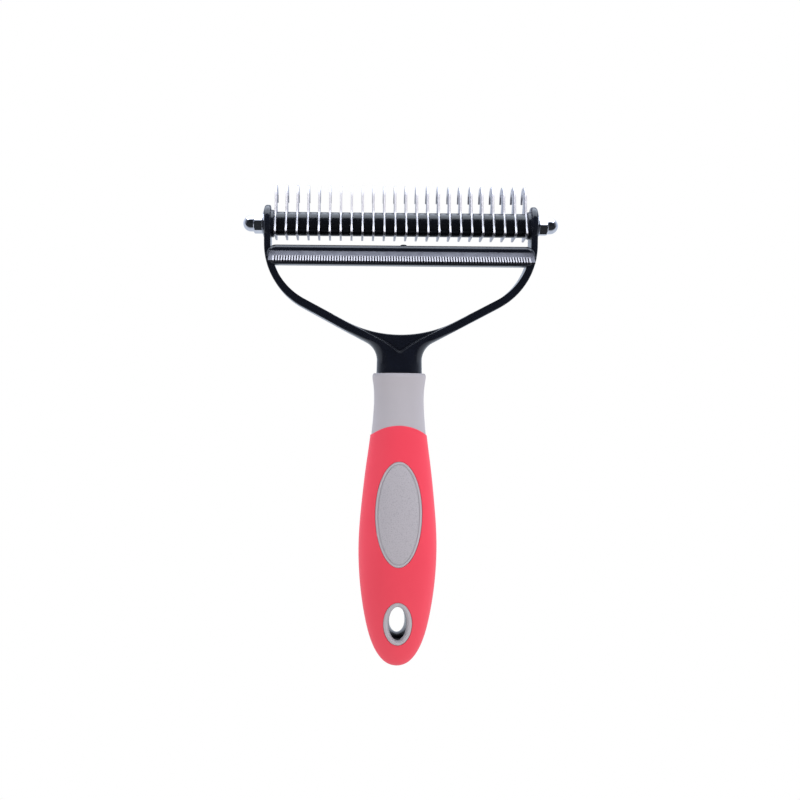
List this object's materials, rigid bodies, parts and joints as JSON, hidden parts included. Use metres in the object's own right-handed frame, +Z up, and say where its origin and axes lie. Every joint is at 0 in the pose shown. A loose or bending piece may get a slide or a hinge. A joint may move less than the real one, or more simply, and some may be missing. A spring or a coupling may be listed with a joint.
{
  "type": "dematting comb",
  "caption": "Hand-held dematting comb for pet coats: a fork with a row of hooked blades on a rod, a fine toothed strip below, and a two-colour soft handle with a hang hole.",
  "frame": {"origin": "middle of the hang hole, on the handle's centre line", "axes": "+Z up along the handle to the rake, +X to the right along the rod, +Y to the back, where the blades' hooks point; the toothed strip faces -Y"},
  "size_m": [0.1244, 0.0277, 0.1903],
  "materials": {
    "black_plastic": "semi-gloss injection moulded",
    "spacer_plastic": "gloss injection moulded",
    "blade_steel": "stamped and polished stainless steel",
    "strip_steel": "ground stainless steel",
    "rod_steel": "zinc plated",
    "washer_steel": "zinc plated",
    "nut_plating": "bright nickel plated",
    "grey_soft": "satin soft-touch overmould",
    "red_soft": "satin soft-touch overmould"
  },
  "bodies": {
    "frame": {"fork_frame": "black_plastic", "blade_bar": "black_plastic", "deshedding_strip": "strip_steel", "handle_sleeve": "grey_soft", "grip_skin": "red_soft", "washer_left": "washer_steel", "washer_right": "washer_steel"},
    "rake": {"rake_rod": "rod_steel", "rake_blade_01": "blade_steel", "rake_blade_02": "blade_steel", "rake_blade_03": "blade_steel", "rake_blade_04": "blade_steel", "rake_blade_05": "blade_steel", "rake_blade_06": "blade_steel", "rake_blade_07": "blade_steel", "rake_blade_08": "blade_steel", "rake_blade_09": "blade_steel", "rake_blade_10": "blade_steel", "rake_blade_11": "blade_steel", "rake_blade_12": "blade_steel", "rake_blade_13": "blade_steel", "rake_blade_14": "blade_steel", "rake_blade_15": "blade_steel", "rake_blade_16": "blade_steel", "rake_blade_17": "blade_steel", "rake_blade_18": "blade_steel", "rake_blade_19": "blade_steel", "rake_blade_20": "blade_steel", "rake_blade_21": "blade_steel", "rake_blade_22": "blade_steel", "rake_blade_23": "blade_steel", "rake_blade_24": "blade_steel", "spacer_01": "spacer_plastic", "spacer_02": "spacer_plastic", "spacer_03": "spacer_plastic", "spacer_04": "spacer_plastic", "spacer_05": "spacer_plastic", "spacer_06": "spacer_plastic", "spacer_07": "spacer_plastic", "spacer_08": "spacer_plastic", "spacer_09": "spacer_plastic", "spacer_10": "spacer_plastic", "spacer_11": "spacer_plastic", "spacer_12": "spacer_plastic", "spacer_13": "spacer_plastic", "spacer_14": "spacer_plastic", "spacer_15": "spacer_plastic", "spacer_16": "spacer_plastic", "spacer_17": "spacer_plastic", "spacer_18": "spacer_plastic", "spacer_19": "spacer_plastic", "spacer_20": "spacer_plastic", "spacer_21": "spacer_plastic", "spacer_22": "spacer_plastic", "spacer_23": "spacer_plastic"},
    "left_nut": {"cap_nut_left": "nut_plating"},
    "right_nut": {"cap_nut_right": "nut_plating"}
  },
  "joints": [
    {"name": "rake_turn", "type": "hinge", "parent": "frame", "child": "rake", "pos_m": [0, 0, 0.1565], "axis": [1, 0, 0], "range_deg": [-16, 136]},
    {"name": "left_nut_turn", "type": "hinge", "parent": "rake", "child": "left_nut", "pos_m": [-0.0547, 0, 0.1565], "axis": [-1, 0, 0], "range_deg": [0, 360]},
    {"name": "right_nut_turn", "type": "hinge", "parent": "rake", "child": "right_nut", "pos_m": [0.0547, 0, 0.1565], "axis": [1, 0, 0], "range_deg": [0, 360]}
  ]
}
